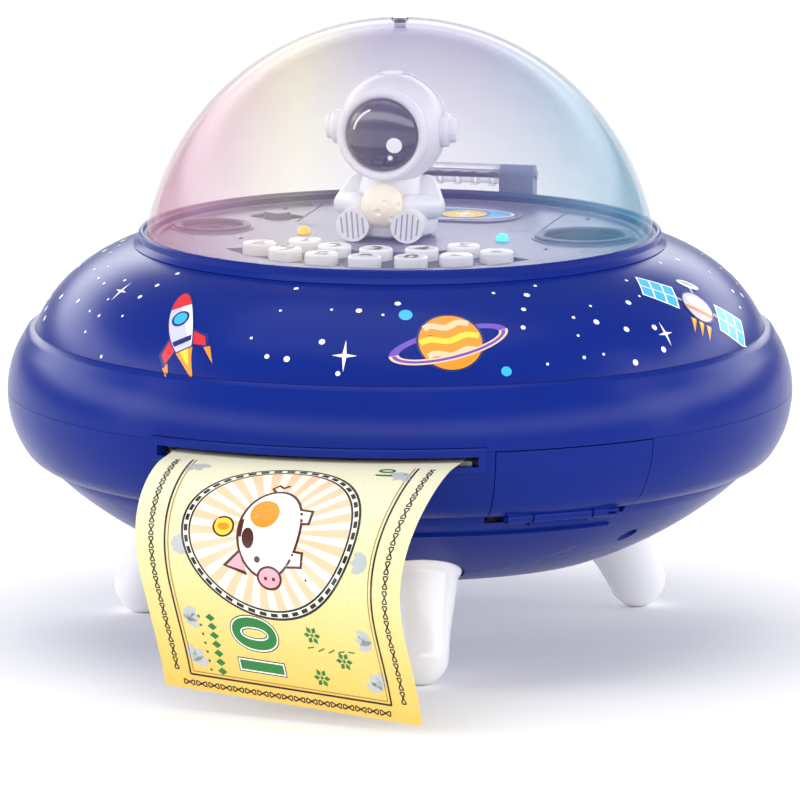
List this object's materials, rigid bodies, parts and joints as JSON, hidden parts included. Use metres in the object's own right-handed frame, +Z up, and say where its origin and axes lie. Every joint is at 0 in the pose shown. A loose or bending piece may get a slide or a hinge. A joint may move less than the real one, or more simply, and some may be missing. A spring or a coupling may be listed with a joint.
{
  "type": "toy savings bank",
  "caption": "Saucer-shaped toy savings bank on legs, with a hinged clear dome over a keypad and a figure, a roller-fed note slot and a drop-down cash door.",
  "frame": {"origin": "on the floor, under the middle of the saucer", "axes": "+Z up, front of the saucer (note slot) towards -Y, +X to the right seen from the front"},
  "size_m": [0.2314, 0.2808, 0.1843],
  "materials": {
    "body_blue": "satin gloss moulded ABS",
    "deck_lilac": "satin moulded ABS",
    "white_plastic": "gloss moulded ABS",
    "figure_white": "gloss moulded PVC",
    "dark_gloss": "high gloss",
    "clear_dome": "clear polystyrene with a pale tint",
    "moon_glow": "milky, lit from inside",
    "badge": "printed film",
    "amber_lens": "clear amber",
    "cyan_lens": "clear cyan",
    "steel": "bright drawn steel",
    "rubber": "moulded rubber",
    "board": "solder mask",
    "frame_grey": "moulded ABS",
    "cell_jacket": "printed jacket",
    "speaker_black": "coated card",
    "note_paper": "printed play note"
  },
  "bodies": {
    "body": {"lower_shell": "body_blue", "upper_shell": "body_blue", "slot_bezel": "body_blue", "belly_panel": "body_blue", "battery_cover": "body_blue", "deck_plate": "deck_lilac", "coin_ring": "deck_lilac", "sound_ring": "deck_lilac", "hinge_bracket": "deck_lilac", "leg_front": "white_plastic", "leg_right": "white_plastic", "leg_left": "white_plastic", "astronaut_body": "figure_white", "astronaut_helmet": "figure_white", "visor_ring": "figure_white", "ear_caps": "figure_white", "visor": "dark_gloss", "side_insert": "dark_gloss", "battery_tray": "dark_gloss", "moon_ball": "moon_glow", "deck_badge": "badge", "led_amber": "amber_lens", "led_cyan": "cyan_lens", "hinge_pin": "steel", "door_pin": "steel", "motor": "steel", "battery_contacts": "steel", "case_screws": "steel", "leg_screws": "steel", "keypad_membrane": "rubber", "main_board": "board", "lamp_board": "board", "feeder_frame": "frame_grey", "upper_guide": "frame_grey", "cash_tray": "frame_grey", "batteries": "cell_jacket", "speaker": "speaker_black"},
    "dome": {"dome": "clear_dome", "vent_plug": "dark_gloss"},
    "cash_door": {"cash_door": "body_blue"},
    "mode_switch": {"switch_knob": "deck_lilac"},
    "drive_roller": {"roller_shaft": "steel", "drive_sleeves": "rubber", "roller_gear": "white_plastic"},
    "pinch_roller": {"pinch_roller": "rubber"},
    "motor_rotor": {"motor_pinion": "white_plastic"},
    "play_note": {"note": "note_paper"},
    "key_1": {"key_1": "white_plastic"},
    "key_2": {"key_2": "white_plastic"},
    "key_3": {"key_3": "white_plastic"},
    "key_4": {"key_4": "white_plastic"},
    "key_5": {"key_5": "white_plastic"},
    "key_6": {"key_6": "white_plastic"},
    "key_7": {"key_7": "white_plastic"},
    "key_8": {"key_8": "white_plastic"},
    "key_9": {"key_9": "white_plastic"},
    "key_10": {"key_10": "white_plastic"},
    "key_11": {"key_11": "white_plastic"},
    "key_12": {"key_12": "white_plastic"}
  },
  "joints": [
    {"name": "dome_hinge", "type": "hinge", "parent": "body", "child": "dome", "pos_m": [0, 0.081, 0.1252], "axis": [-1, 0, 0], "range_deg": [0, 80]},
    {"name": "door_hinge", "type": "hinge", "parent": "body", "child": "cash_door", "pos_m": [0.06664, -0.08013, 0.0515], "axis": [0.7688, 0.6394, 0], "range_deg": [0, 80]},
    {"name": "switch_slide", "type": "slide", "parent": "body", "child": "mode_switch", "axis": [0.5736, 0.8192, 0], "range_m": [-0.002, 0.002]},
    {"name": "drive_spin", "type": "hinge", "parent": "body", "child": "drive_roller", "pos_m": [0, -0.08, 0.06415], "axis": [1, 0, 0], "range_deg": [-35, 280]},
    {"name": "pinch_spin", "type": "hinge", "parent": "body", "child": "pinch_roller", "pos_m": [0, -0.08, 0.07485], "axis": [1, 0, 0], "range_deg": [-425, 57]},
    {"name": "motor_spin", "type": "hinge", "parent": "body", "child": "motor_rotor", "pos_m": [-0.05, -0.06188, 0.06415], "axis": [1, 0, 0], "range_deg": [-565, 75]},
    {"name": "note_feed", "type": "slide", "parent": "body", "child": "play_note", "axis": [0, -1, 0], "range_m": [-0.0036, 0.0292]},
    {"name": "key_1_press", "type": "slide", "parent": "body", "child": "key_1", "axis": [0, 0, -1], "range_m": [0, 0.0012], "stiffness_N_per_m": 200, "springref_m": -0.0005},
    {"name": "key_2_press", "type": "slide", "parent": "body", "child": "key_2", "axis": [0, 0, -1], "range_m": [0, 0.0012], "stiffness_N_per_m": 200, "springref_m": -0.0005},
    {"name": "key_3_press", "type": "slide", "parent": "body", "child": "key_3", "axis": [0, 0, -1], "range_m": [0, 0.0012], "stiffness_N_per_m": 200, "springref_m": -0.0005},
    {"name": "key_4_press", "type": "slide", "parent": "body", "child": "key_4", "axis": [0, 0, -1], "range_m": [0, 0.0012], "stiffness_N_per_m": 200, "springref_m": -0.0005},
    {"name": "key_5_press", "type": "slide", "parent": "body", "child": "key_5", "axis": [0, 0, -1], "range_m": [0, 0.0012], "stiffness_N_per_m": 200, "springref_m": -0.0005},
    {"name": "key_6_press", "type": "slide", "parent": "body", "child": "key_6", "axis": [0, 0, -1], "range_m": [0, 0.0012], "stiffness_N_per_m": 200, "springref_m": -0.0005},
    {"name": "key_7_press", "type": "slide", "parent": "body", "child": "key_7", "axis": [0, 0, -1], "range_m": [0, 0.0012], "stiffness_N_per_m": 200, "springref_m": -0.0005},
    {"name": "key_8_press", "type": "slide", "parent": "body", "child": "key_8", "axis": [0, 0, -1], "range_m": [0, 0.0012], "stiffness_N_per_m": 200, "springref_m": -0.0005},
    {"name": "key_9_press", "type": "slide", "parent": "body", "child": "key_9", "axis": [0, 0, -1], "range_m": [0, 0.0012], "stiffness_N_per_m": 200, "springref_m": -0.0005},
    {"name": "key_10_press", "type": "slide", "parent": "body", "child": "key_10", "axis": [0, 0, -1], "range_m": [0, 0.0012], "stiffness_N_per_m": 200, "springref_m": -0.0005},
    {"name": "key_11_press", "type": "slide", "parent": "body", "child": "key_11", "axis": [0, 0, -1], "range_m": [0, 0.0012], "stiffness_N_per_m": 200, "springref_m": -0.0005},
    {"name": "key_12_press", "type": "slide", "parent": "body", "child": "key_12", "axis": [0, 0, -1], "range_m": [0, 0.0012], "stiffness_N_per_m": 200, "springref_m": -0.0005}
  ],
  "couplings": [
    {"joint": "drive_spin", "follows": "note_feed", "rad_per_m": 166.67},
    {"joint": "pinch_spin", "follows": "note_feed", "rad_per_m": -250},
    {"joint": "motor_spin", "follows": "note_feed", "rad_per_m": -333.33}
  ]
}
